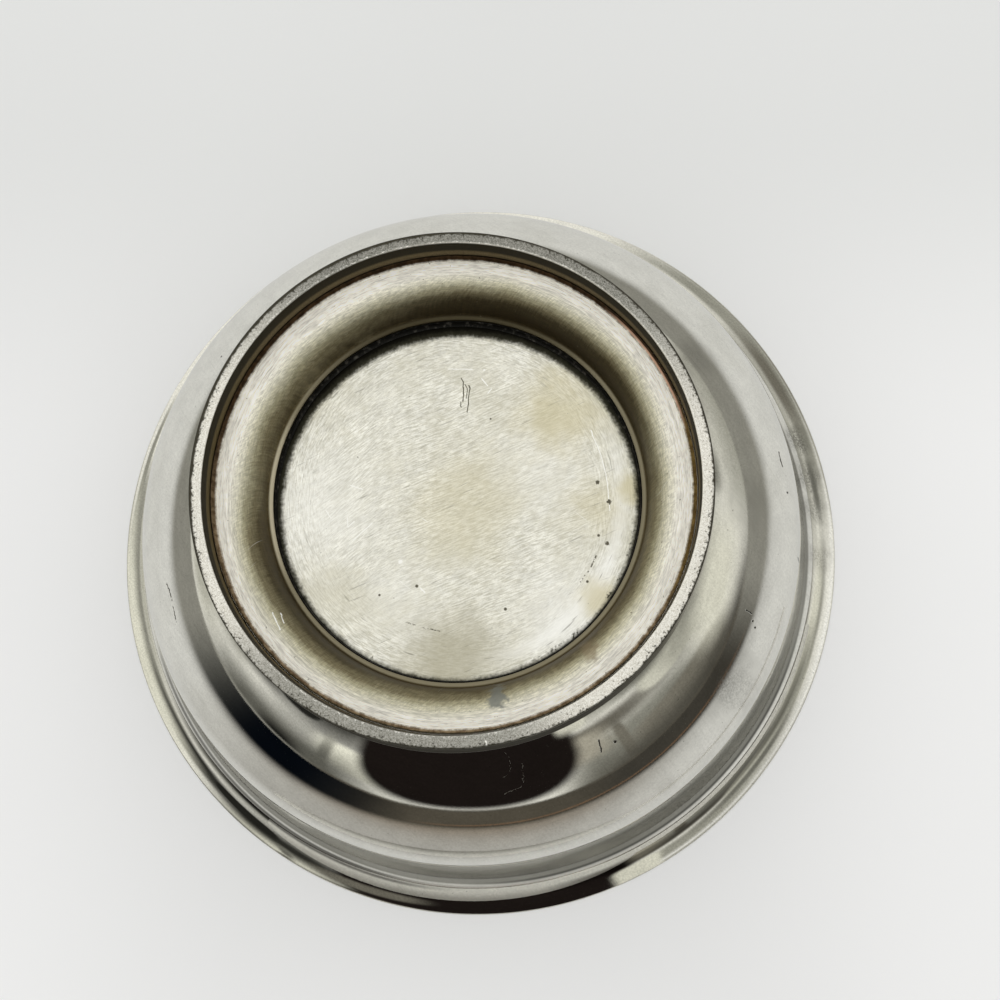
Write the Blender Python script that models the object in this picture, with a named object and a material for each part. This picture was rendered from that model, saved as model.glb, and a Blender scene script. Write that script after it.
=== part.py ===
"""Footed bowl with a flared lip, spun from sheet and silver plated.

The bowl lies upside down on its rim, foot upwards. Its axis is Z and the rim stands on z = 0.
The pieces, from the table upwards: the spun bowl, the solder that fixes the foot, the spun foot
collar, the solder round the base ring, and the heavy base ring that the bowl stands on in use.
All sizes are in metres.
"""
import math

import bmesh
import bpy
from mathutils import Vector
from mathutils.geometry import interpolate_bezier

# Bowl
RIM_RADIUS = 0.1143
LIP_REACH = 0.0180          # how far the rim stands out past the belly
LIP_SLOPE = math.radians(13)        # of the sheet at its edge, from level
LIP_LEAN = math.radians(29)         # of the wall where the lip's curl begins, from upright
WALL_CURVE = 0.0596         # radius of the wall's section above the curl
THROAT_LEAN = math.radians(15)      # of the wall where the throat's tighter curve begins
THROAT_CURVE = 0.0257       # radius of the throat's section
THROAT_DRAW = 0.0002        # how much narrower the throat is than the belly
THROAT_HEIGHT = 0.0296
BELLY_RISE = 0.0010         # from the throat up to the widest place of the belly
BELLY_CURVE = 0.0300        # radius of the belly's section
BELLY_SWEEP = math.radians(40)      # turn of the belly's section before the shoulder begins
BASE_SLOPE = math.radians(11.3)     # of the shoulder where it meets the flat underside
BODY_HEIGHT = 0.0762
BOWL_SHEET = 0.0012

# Foot collar
COLLAR_SHEET = 0.0010
COLLAR_NECK_RADIUS = 0.0484     # inside, where the collar's wall is upright
SEAT_TURN = 0.0014          # how far the wall turns in to its seat
SEAT_BEND = 0.0012          # inside radius of that turn
SHOULDER_WIDTH = 0.0061
FLAT_WIDTH = 0.0048         # level part of the flange inside the base ring
FLANGE_OVERHANG = 0.0011    # flange outside the base ring
FOOT_HEIGHT = 0.0223        # from the bowl's underside to the face that it stands on

# Base ring
RING_WIDTH = 0.0030
RING_HEIGHT = 0.0080
RING_OUTER_ROUND = 0.0004
RING_INNER_ROUND = 0.0002

# Solder
SOLDER_FILM = 0.0003
NECK_FILLET = 0.0015        # leg of the fillet outside the neck
NECK_BEAD = 0.0011          # width of the bead squeezed out inside the neck
RING_FILLET = 0.0011        # leg of the fillet inside the base ring
FILLET_TIP = 0.00012        # thickness left at a fillet's thin edges

# Fits
CLEARANCE = 0.0003          # between pieces that touch
SEAT_MARGIN = 0.0003        # flat of the bowl's underside past the neck fillet

# Turned surfaces
STEPS_ROUND = 64
SHARP_ANGLE = math.radians(40)

# Bowl sizes that follow
belly_radius = RIM_RADIUS - LIP_REACH
belly_height = THROAT_HEIGHT + BELLY_RISE
throat_radius = belly_radius - THROAT_DRAW

# Foot sizes that follow; heights are from the bowl's underside
seat_under = SOLDER_FILM + 2 * CLEARANCE
seat_top = seat_under + COLLAR_SHEET
neck_outside = COLLAR_NECK_RADIUS + COLLAR_SHEET
flange_top = FOOT_HEIGHT - RING_HEIGHT - CLEARANCE
flat_radius = COLLAR_NECK_RADIUS + SHOULDER_WIDTH
ring_inside = flat_radius + FLAT_WIDTH
ring_outside = ring_inside + RING_WIDTH
flange_radius = ring_outside + FLANGE_OVERHANG
fillet_radius = neck_outside + CLEARANCE + NECK_FILLET
base_radius = fillet_radius + SEAT_MARGIN


def bezier(start, start_heading, end, end_heading, pull, count):
    """Points of one curve between two headings; pull is each handle's share of the chord."""
    start = Vector(start)
    end = Vector(end)
    reach = pull * (end - start).length
    handle_a = start + reach * Vector(start_heading)
    handle_b = end - reach * Vector(end_heading)
    points = interpolate_bezier(start, handle_a, handle_b, end, count + 1)
    return [(p[0], p[1]) for p in points]


def arc(centre, radius, first, last, count):
    """Points of a circular arc; angles run from the radial direction towards up."""
    points = []
    for step in range(count + 1):
        angle = first + (last - first) * step / count
        points.append((centre[0] + radius * math.cos(angle), centre[1] + radius * math.sin(angle)))
    return points


def joined(*stretches):
    """One outline from stretches that share their end points."""
    outline = []
    for stretch in stretches:
        for point in stretch:
            if outline and math.dist(outline[-1], point) < 1e-6:
                continue
            outline.append(point)
    return outline


def other_side(points, thickness, end_normal=None):
    """The far face of a sheet whose near face runs through the points, in reverse order."""
    far = []
    last = len(points) - 1
    for index, point in enumerate(points):
        before = Vector(points[max(index - 1, 0)])
        here = Vector(point)
        after = Vector(points[min(index + 1, last)])
        sides = [(b - a).normalized() for a, b in ((before, here), (here, after)) if (b - a).length]
        heading = sum(sides, Vector((0, 0))).normalized()
        normal = Vector((-heading.y, heading.x))
        if index == last and end_normal:
            normal = Vector(end_normal)
        mitre = normal.dot(Vector((-sides[0].y, sides[0].x))) if len(sides) == 2 else 1.0
        shifted = here - normal * (thickness / mitre)
        far.append((max(shifted.x, 0.0), shifted.y))
    far.reverse()
    return far


def bend(start, heading, radius, turn, count):
    """Points of an arc that leaves start at a heading and turns left."""
    centre = (start[0] - radius * math.sin(heading), start[1] + radius * math.cos(heading))
    first = heading - math.pi / 2
    return arc(centre, radius, first, first + turn, count)


def bowl_outside():
    """The bowl's polished outside, from the middle of its underside down to the lip."""
    base = (base_radius, BODY_HEIGHT)
    base_heading = (math.cos(BASE_SLOPE), -math.sin(BASE_SLOPE))
    belly_centre = (belly_radius - BELLY_CURVE, belly_height)
    belly = arc(belly_centre, BELLY_CURVE, BELLY_SWEEP, 0.0, 5)
    belly_heading = (math.sin(BELLY_SWEEP), -math.cos(BELLY_SWEEP))

    down = (0.0, -1.0)
    throat = bend((throat_radius, THROAT_HEIGHT), -math.pi / 2, THROAT_CURVE, THROAT_LEAN, 2)
    wall = bend(throat[-1], THROAT_LEAN - math.pi / 2, WALL_CURVE, LIP_LEAN - THROAT_LEAN, 2)
    curl_heading = (math.sin(LIP_LEAN), -math.cos(LIP_LEAN))
    half_sheet = BOWL_SHEET / 2
    lip = (RIM_RADIUS - half_sheet + half_sheet * math.sin(LIP_SLOPE),
           half_sheet + half_sheet * math.cos(LIP_SLOPE))
    lip_heading = (math.cos(LIP_SLOPE), -math.sin(LIP_SLOPE))
    return joined(
        [(0.0, BODY_HEIGHT)],
        bezier(base, base_heading, belly[0], belly_heading, 0.343, 6),
        belly,
        bezier(belly[-1], down, throat[0], down, 0.45, 2),
        throat,
        wall,
        bezier(wall[-1], curl_heading, lip, lip_heading, 0.336, 6),
    )


def bowl_outline():
    outside = bowl_outside()
    lip_normal = (math.sin(LIP_SLOPE), math.cos(LIP_SLOPE))
    inside = other_side(outside, BOWL_SHEET, lip_normal)
    half_sheet = BOWL_SHEET / 2
    edge_centre = (RIM_RADIUS - half_sheet, half_sheet)
    edge_top = math.pi / 2 - LIP_SLOPE
    edge = joined(
        arc(edge_centre, half_sheet, edge_top, 0.0, 2),
        arc(edge_centre, half_sheet, 0.0, -math.pi / 2, 2),
    )
    return joined(outside, edge, inside)


def collar_outline():
    """The collar's section: turned-in seat, neck, rounded shoulder, level flange."""
    seat_end = (COLLAR_NECK_RADIUS - SEAT_BEND, seat_top)
    seat_bend = bend(seat_end, 0.0, SEAT_BEND, math.pi / 2, 3)
    neck_top = seat_bend[-1]
    shoulder = bezier(neck_top, (0.0, 1.0), (flat_radius, flange_top), (1.0, 0.0), 0.40, 7)
    edge_round = COLLAR_SHEET / 2
    hollow_side = joined(
        [(COLLAR_NECK_RADIUS - SEAT_TURN, seat_top)],
        seat_bend,
        shoulder,
        [(flange_radius - edge_round, flange_top)],
    )
    edge = arc((flange_radius - edge_round, flange_top - edge_round), edge_round,
               math.pi / 2, -math.pi / 2, 4)
    return joined(hollow_side, edge, other_side(hollow_side, COLLAR_SHEET, (0.0, 1.0)))


def ring_outline():
    """The base ring's section, from its own underside at height 0."""
    outer_centre = (ring_outside - RING_OUTER_ROUND, RING_HEIGHT - RING_OUTER_ROUND)
    inner_centre = (ring_inside + RING_INNER_ROUND, RING_HEIGHT - RING_INNER_ROUND)
    return joined(
        arc(inner_centre, RING_INNER_ROUND, math.pi, math.pi / 2, 2),
        arc(outer_centre, RING_OUTER_ROUND, math.pi / 2, 0.0, 2),
        [(ring_outside, 0.0), (ring_inside, 0.0)],
    )


def neck_solder_outline():
    """Film under the collar's seat, with a fillet outside the neck and a bead inside it."""
    bend_centre = (COLLAR_NECK_RADIUS - SEAT_BEND, seat_top + SEAT_BEND)
    around_bend = SEAT_BEND + COLLAR_SHEET + CLEARANCE
    film_top = CLEARANCE + SOLDER_FILM
    seat_edge = COLLAR_NECK_RADIUS - SEAT_TURN - CLEARANCE
    fillet_top = (neck_outside + CLEARANCE + FILLET_TIP, bend_centre[1])
    fillet_foot = (fillet_radius, CLEARANCE + FILLET_TIP)
    bead_foot = (seat_edge - NECK_BEAD, CLEARANCE + FILLET_TIP)
    bead_top = (seat_edge - FILLET_TIP, seat_under + COLLAR_SHEET / 2)
    return joined(
        bezier(fillet_top, (0.0, -1.0), fillet_foot, (1.0, 0.0), 0.35, 3),
        [(fillet_radius, CLEARANCE), (bead_foot[0], CLEARANCE)],
        bezier(bead_foot, (1.0, 0.0), bead_top, (0.0, 1.0), 0.30, 2),
        [(seat_edge, bead_top[1]), (seat_edge, film_top)],
        arc(bend_centre, around_bend, -math.pi / 2, 0.0, 3),
    )


def ring_solder_outline():
    """Fillet in the corner between the flange and the base ring's inner wall."""
    wall = ring_inside - CLEARANCE
    floor = flange_top + CLEARANCE
    foot = (wall - RING_FILLET, floor + FILLET_TIP)
    top = (wall - FILLET_TIP, floor + RING_FILLET)
    return joined(
        bezier(foot, (1.0, 0.0), top, (0.0, 1.0), 0.35, 3),
        [(wall, top[1]), (wall, floor), (foot[0], floor)],
    )


def metal(name, colour, roughness, metallic=1.0):
    material = bpy.data.materials.new(name)
    material.use_nodes = True
    shader = material.node_tree.nodes["Principled BSDF"]
    shader.inputs["Base Color"].default_value = (*colour, 1.0)
    shader.inputs["Roughness"].default_value = roughness
    shader.inputs["Metallic"].default_value = metallic
    return material


def turned(name, outline, material, closed=True):
    """A piece turned about Z from its section, which is drawn in the plane of X and Z."""
    work = bmesh.new()
    corners = [work.verts.new((radius, 0.0, height)) for radius, height in outline]
    following = corners[1:] + corners[:1] if closed else corners[1:]
    edges = [work.edges.new(pair) for pair in zip(corners, following)]
    bmesh.ops.spin(work, geom=corners + edges, cent=(0.0, 0.0, 0.0), axis=(0.0, 0.0, 1.0),
                   angle=math.tau, steps=STEPS_ROUND)
    bmesh.ops.remove_doubles(work, verts=work.verts, dist=0.000002)
    bmesh.ops.recalc_face_normals(work, faces=work.faces)

    mesh = bpy.data.meshes.new(name)
    work.to_mesh(mesh)
    work.free()
    mesh.materials.append(material)
    mesh.shade_smooth()
    mesh.set_sharp_from_angle(angle=SHARP_ANGLE)
    piece = bpy.data.objects.new(name, mesh)
    bpy.context.scene.collection.objects.link(piece)
    return piece


def empty(name, height):
    marker = bpy.data.objects.new(name, None)
    marker.empty_display_size = 0.02
    marker.location = (0.0, 0.0, height)
    bpy.context.scene.collection.objects.link(marker)
    return marker


def build():
    for item in list(bpy.data.objects):
        bpy.data.objects.remove(item, do_unlink=True)

    polished_plate = metal("polished_silver_plate", (0.78, 0.76, 0.71), 0.10)
    brushed_plate = metal("brushed_silver_plate", (0.74, 0.70, 0.60), 0.35)
    pitted_metal = metal("pitted_base_metal", (0.50, 0.48, 0.44), 0.50)
    dark_solder = metal("tarnished_solder", (0.10, 0.09, 0.08), 0.60, 0.6)
    brown_solder = metal("copper_brown_solder", (0.46, 0.26, 0.15), 0.45)

    turned("bowl_body", bowl_outline(), polished_plate, closed=False)

    foot_seat = empty("foot_seat", BODY_HEIGHT)
    neck_solder = turned("neck_solder", neck_solder_outline(), dark_solder)
    collar = turned("foot_collar", collar_outline(), brushed_plate)
    ring_solder = turned("ring_solder", ring_solder_outline(), brown_solder)
    base_ring = turned("base_ring", ring_outline(), pitted_metal)
    base_ring.location.z = flange_top + CLEARANCE
    for piece in (neck_solder, collar, ring_solder, base_ring):
        piece.parent = foot_seat


build()
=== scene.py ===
"""Dressed model of a silver-plated footed bowl that lies upside down on its rim.

Every turned piece is drawn as a section in the plane of X and Z, in metres, and turned about the
bowl's axis, Z. The rim stands on z = 0 and the foot points up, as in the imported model.
"""
import math

import bpy
from mathutils import Matrix, Vector
from mathutils.geometry import interpolate_bezier


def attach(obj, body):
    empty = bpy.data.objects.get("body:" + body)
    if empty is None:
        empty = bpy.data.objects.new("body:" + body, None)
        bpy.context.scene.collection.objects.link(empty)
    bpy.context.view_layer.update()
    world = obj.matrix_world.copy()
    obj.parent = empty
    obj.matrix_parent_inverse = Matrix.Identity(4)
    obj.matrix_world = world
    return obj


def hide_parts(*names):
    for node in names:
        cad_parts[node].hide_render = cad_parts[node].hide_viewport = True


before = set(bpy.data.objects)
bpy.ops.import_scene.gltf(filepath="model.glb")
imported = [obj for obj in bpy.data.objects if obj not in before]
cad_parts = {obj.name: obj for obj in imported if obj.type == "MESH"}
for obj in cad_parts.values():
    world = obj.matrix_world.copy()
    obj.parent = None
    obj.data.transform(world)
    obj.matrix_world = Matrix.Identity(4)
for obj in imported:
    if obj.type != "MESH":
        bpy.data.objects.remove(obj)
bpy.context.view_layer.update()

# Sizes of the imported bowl
RIM_RADIUS = 0.1143
LIP_REACH = 0.0180
LIP_SLOPE = math.radians(13)
LIP_LEAN = math.radians(29)
WALL_CURVE = 0.0596
THROAT_LEAN = math.radians(15)
THROAT_CURVE = 0.0257
THROAT_DRAW = 0.0002
THROAT_HEIGHT = 0.0296
BELLY_RISE = 0.0010
BELLY_CURVE = 0.0300
BELLY_SWEEP = math.radians(40)
BASE_SLOPE = math.radians(11.3)
BASE_RADIUS = 0.0515
BODY_HEIGHT = 0.0762
BOWL_SHEET = 0.0012
UNDERSIDE_RADIUS = 0.0506

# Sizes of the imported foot
COLLAR_SHEET = 0.0010
COLLAR_NECK_RADIUS = 0.0484
SEAT_EDGE_RADIUS = 0.0470
SEAT_TOP = 0.0781
SEAT_BEND = 0.0012
FLANGE_TOP = 0.0902
FLAT_RADIUS = 0.0545
FLANGE_RADIUS = 0.0634
RING_INSIDE = 0.0593
RING_OUTSIDE = 0.0623
RING_UNDER = 0.0905
FOOT_FACE = 0.0985
JOINT_GAP = 0.0003

# How finely the pieces are turned
STEPS_ROUND = 360
BOWL_STEPS_ROUND = 384
WELD = 0.000002
SHARP_CORNER = math.radians(40)

# The photograph's camera. The focal length and the rim's centre are in pixels of a frame
# 1000 wide, the centre from the middle of the frame, and the distance is in rim radii.
CAMERA_TILT = math.radians(11.25)
CAMERA_TURN = math.radians(-102.8)
CAMERA_DISTANCE = 3.114
FRAME_WIDTH = 1000.0
FOCAL_LENGTH = 1100.0
RIM_CENTRE = (-23.8, 42.4)


# Camera

def add_camera():
    """The photograph's viewing angle: almost straight down, from a little on the near side."""
    level = math.sin(CAMERA_TILT)
    axis = Vector((level * math.cos(CAMERA_TURN), level * math.sin(CAMERA_TURN), -math.cos(CAMERA_TILT)))
    across = axis.cross(Vector((0.0, 1.0, 0.0))).normalized()
    down = axis.cross(across)
    rim_centre = Vector((*RIM_CENTRE, FOCAL_LENGTH)) * (CAMERA_DISTANCE * RIM_RADIUS / FOCAL_LENGTH)
    right = Vector((across.x, down.x, axis.x))
    up = -Vector((across.y, down.y, axis.y))
    back = -Vector((across.z, down.z, axis.z))
    pose = Matrix((right, up, back)).transposed().to_4x4()
    pose.translation = [-rim_centre.dot(direction) for direction in (across, down, axis)]
    data = bpy.data.cameras.new("camera")
    data.sensor_width = 36.0
    data.lens = FOCAL_LENGTH / FRAME_WIDTH * data.sensor_width
    data.clip_start = 0.01
    camera = bpy.data.objects.new("camera", data)
    camera.matrix_world = pose
    bpy.context.scene.collection.objects.link(camera)
    bpy.context.scene.camera = camera


# Sections

def bezier(start, start_heading, end, end_heading, pull, count):
    start, end = Vector(start), Vector(end)
    reach = pull * (end - start).length
    handle_a = start + reach * Vector(start_heading)
    handle_b = end - reach * Vector(end_heading)
    return [(p[0], p[1]) for p in interpolate_bezier(start, handle_a, handle_b, end, count + 1)]


def arc(centre, radius, first, last, count):
    angles = [first + (last - first) * step / count for step in range(count + 1)]
    return [(centre[0] + radius * math.cos(a), centre[1] + radius * math.sin(a)) for a in angles]


def bend(start, heading, radius, turn, count):
    centre = (start[0] - radius * math.sin(heading), start[1] + radius * math.cos(heading))
    return arc(centre, radius, heading - math.pi / 2, heading - math.pi / 2 + turn, count)


def joined(*stretches):
    outline = []
    for stretch in stretches:
        for point in stretch:
            if not outline or math.dist(outline[-1], point) > 1e-6:
                outline.append(point)
    return outline


def other_side(points, thickness, end_normal):
    """The far face of a sheet whose near face runs through the points, in reverse order."""
    far = []
    last = len(points) - 1
    for index, point in enumerate(points):
        before, here, after = (Vector(points[min(max(index + i, 0), last)]) for i in (-1, 0, 1))
        sides = [(b - a).normalized() for a, b in ((before, here), (here, after)) if (b - a).length]
        heading = sum(sides, Vector((0, 0))).normalized()
        normal = Vector(end_normal) if index == last else Vector((-heading.y, heading.x))
        mitre = normal.dot(Vector((-sides[0].y, sides[0].x))) if len(sides) == 2 else 1.0
        shifted = here - normal * (thickness / mitre)
        far.append((max(shifted.x, 0.0), shifted.y))
    return far[::-1]


def bowl_section():
    belly_radius = RIM_RADIUS - LIP_REACH
    belly_height = THROAT_HEIGHT + BELLY_RISE
    base = (BASE_RADIUS, BODY_HEIGHT)
    base_heading = (math.cos(BASE_SLOPE), -math.sin(BASE_SLOPE))
    belly = arc((belly_radius - BELLY_CURVE, belly_height), BELLY_CURVE, BELLY_SWEEP, 0.0, 28)
    belly_heading = (math.sin(BELLY_SWEEP), -math.cos(BELLY_SWEEP))
    down = (0.0, -1.0)
    throat = bend((belly_radius - THROAT_DRAW, THROAT_HEIGHT), -math.pi / 2, THROAT_CURVE,
                  THROAT_LEAN, 10)
    wall = bend(throat[-1], THROAT_LEAN - math.pi / 2, WALL_CURVE, LIP_LEAN - THROAT_LEAN, 12)
    curl_heading = (math.sin(LIP_LEAN), -math.cos(LIP_LEAN))
    half = BOWL_SHEET / 2
    lip = (RIM_RADIUS - half + half * math.sin(LIP_SLOPE), half + half * math.cos(LIP_SLOPE))
    lip_heading = (math.cos(LIP_SLOPE), -math.sin(LIP_SLOPE))
    outside = joined(
        [(radius, BODY_HEIGHT) for radius in (0.0, 0.02, 0.04, 0.0505)],
        bezier(base, base_heading, belly[0], belly_heading, 0.343, 30),
        belly,
        bezier(belly[-1], down, throat[0], down, 0.45, 8),
        throat,
        wall,
        bezier(wall[-1], curl_heading, lip, lip_heading, 0.336, 28),
    )
    edge_centre = (RIM_RADIUS - half, half)
    edge_top = math.pi / 2 - LIP_SLOPE
    edge = joined(
        arc(edge_centre, half, edge_top, 0.0, 6),
        arc(edge_centre, half, 0.0, -math.pi / 2, 6),
        arc(edge_centre, half, -math.pi / 2, edge_top - math.pi, 2),
    )
    inside = other_side(outside, BOWL_SHEET, (math.sin(LIP_SLOPE), math.cos(LIP_SLOPE)))
    return joined(outside, edge, inside)


def collar_section():
    seat_bend = bend((COLLAR_NECK_RADIUS - SEAT_BEND, SEAT_TOP), 0.0, SEAT_BEND, math.pi / 2, 10)
    shoulder = bezier(seat_bend[-1], (0.0, 1.0), (FLAT_RADIUS, FLANGE_TOP), (1.0, 0.0), 0.40, 30)
    half = COLLAR_SHEET / 2
    hollow_side = joined(
        [(SEAT_EDGE_RADIUS, SEAT_TOP)],
        seat_bend,
        shoulder,
        [(radius, FLANGE_TOP) for radius in (0.0560, 0.0580, FLANGE_RADIUS - half)],
    )
    edge = arc((FLANGE_RADIUS - half, FLANGE_TOP - half), half, math.pi / 2, -math.pi / 2, 10)
    return joined(hollow_side, edge, other_side(hollow_side, COLLAR_SHEET, (0.0, 1.0)))


def ring_section():
    inner, outer = 0.0002, 0.0004
    return joined(
        [(RING_INSIDE, 0.0930), (RING_INSIDE, 0.0957)],
        arc((RING_INSIDE + inner, FOOT_FACE - inner), inner, math.pi, math.pi / 2, 4),
        [(radius, FOOT_FACE) for radius in (0.0601, 0.0607, 0.0613)],
        arc((RING_OUTSIDE - outer, FOOT_FACE - outer), outer, math.pi / 2, 0.0, 6),
        [(RING_OUTSIDE, height) for height in (0.0957, 0.0930, RING_UNDER)],
        [(RING_INSIDE, RING_UNDER)],
    )


def neck_solder_section():
    bend_centre = (COLLAR_NECK_RADIUS - SEAT_BEND, SEAT_TOP + SEAT_BEND)
    around_bend = SEAT_BEND + COLLAR_SHEET + JOINT_GAP
    under = BODY_HEIGHT + JOINT_GAP
    bead_edge = SEAT_EDGE_RADIUS - JOINT_GAP
    bead_foot = bead_edge - 0.0011
    bead_top = SEAT_TOP - COLLAR_SHEET / 2
    return joined(
        bezier((0.04982, bend_centre[1]), (0.0, -1.0), (0.0512, under + 0.00012), (1.0, 0.0), 0.35, 8),
        [(radius, under) for radius in (0.0512, 0.0495, 0.0475, bead_foot)],
        bezier((bead_foot, under + 0.00012), (1.0, 0.0), (bead_edge - 0.00012, bead_top),
               (0.0, 1.0), 0.30, 6),
        [(bead_edge, bead_top), (bead_edge, under + 0.0003)],
        arc(bend_centre, around_bend, -math.pi / 2, 0.0, 8),
    )


def ring_solder_section():
    wall, floor = RING_INSIDE - JOINT_GAP, FLANGE_TOP + JOINT_GAP
    leg = 0.0011
    return joined(
        bezier((wall - leg, floor + 0.00012), (1.0, 0.0), (wall - 0.00012, floor + leg),
               (0.0, 1.0), 0.35, 8),
        [(wall, floor + leg), (wall, floor), (wall - 0.0006, floor), (wall - leg, floor)],
    )


# Nodes

class Level:
    """A value that a recipe's nodes work out, with the signs that a formula is written in."""

    def __init__(self, recipe, socket):
        self.recipe = recipe
        self.socket = socket

    def __add__(self, other):
        return self.recipe.math("ADD", self, other)

    def __sub__(self, other):
        return self.recipe.math("SUBTRACT", self, other)

    def __rsub__(self, other):
        return self.recipe.math("SUBTRACT", other, self)

    def __mul__(self, other):
        return self.recipe.math("MULTIPLY", self, other)

    def __truediv__(self, other):
        return self.recipe.math("DIVIDE", self, other)

    def __rtruediv__(self, other):
        return self.recipe.math("DIVIDE", other, self)


class Recipe:
    """Nodes of the lathe, a material or the room, with short calls for what they do."""

    def __init__(self, tree):
        self.tree = tree

    def feed(self, socket, source):
        if isinstance(source, Level):
            self.tree.links.new(source.socket, socket)
        elif isinstance(source, tuple) and socket.type == "RGBA":
            socket.default_value = (*source, 1.0)
        elif source is not None:
            socket.default_value = source

    def step(self, kind, feeds=(), output=0, **options):
        """Adds a node, sets its options, feeds its inputs by name or number and gives an output."""
        node = self.tree.nodes.new(kind)
        for option, value in options.items():
            setattr(node, option, value)
        for name, source in dict(feeds).items():
            self.feed(node.inputs[name], source)
        return Level(self, node.outputs[output]) if node.outputs else None

    def math(self, operation, *terms, clamp=False):
        return self.step("ShaderNodeMath", enumerate(terms), operation=operation, use_clamp=clamp)

    def most(self, *shares):
        highest, *others = shares
        for share in others:
            highest = self.math("MAXIMUM", highest, share)
        return highest

    def blend(self, share, first, second):
        return first * (1.0 - share) + second * share

    def vector(self, *parts):
        return self.step("ShaderNodeCombineXYZ", enumerate(parts))

    def vector_math(self, operation, *vectors, output="Vector"):
        return self.step("ShaderNodeVectorMath", enumerate(vectors), output, operation=operation)

    def scaled(self, vector, factor):
        return self.step("ShaderNodeVectorMath", {0: vector, "Scale": factor}, operation="SCALE")

    def split(self, vector):
        parts = self.step("ShaderNodeSeparateXYZ", {0: vector}).socket.node.outputs
        return [Level(self, part) for part in parts]

    def noise(self, place, scale=1.0, detail=2.0, roughness=0.5, distortion=0.0, seed=0.0):
        feeds = {"Vector": place, "W": seed, "Scale": scale, "Detail": detail,
                 "Roughness": roughness, "Distortion": distortion}
        return self.step("ShaderNodeTexNoise", feeds, noise_dimensions="4D")

    def band(self, source, low, high, to_low=0.0, to_high=1.0):
        """Takes low..high of the source smoothly to to_low..to_high and holds both ends."""
        return self.step("ShaderNodeMapRange", enumerate((source, low, high, to_low, to_high)),
                         interpolation_type="SMOOTHSTEP")

    def between(self, source, low, high, soft):
        """1 from low to high, falling to 0 over the soft margin outside them."""
        rising = self.band(source, low - soft, low + soft)
        return rising * self.band(source, high - soft, high + soft, 1.0, 0.0)

    def ramp(self, source, low, high, stops):
        """Colours along the source from low to high; each stop is a source value and a colour."""
        colour = self.step("ShaderNodeValToRGB", {0: (source - low) / (high - low)})
        strip = colour.socket.node.color_ramp
        strip.interpolation = "EASE"
        while len(strip.elements) < len(stops):
            strip.elements.new(1.0)
        for point, (value, tone) in zip(strip.elements, stops):
            point.position = (value - low) / (high - low)
            point.color = (*tone, 1.0)
        return colour

    def mix(self, share, first, second, blend="MIX"):
        return self.step("ShaderNodeMix", {0: share, 6: first, 7: second}, 2, data_type="RGBA",
                         blend_type=blend)


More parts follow.
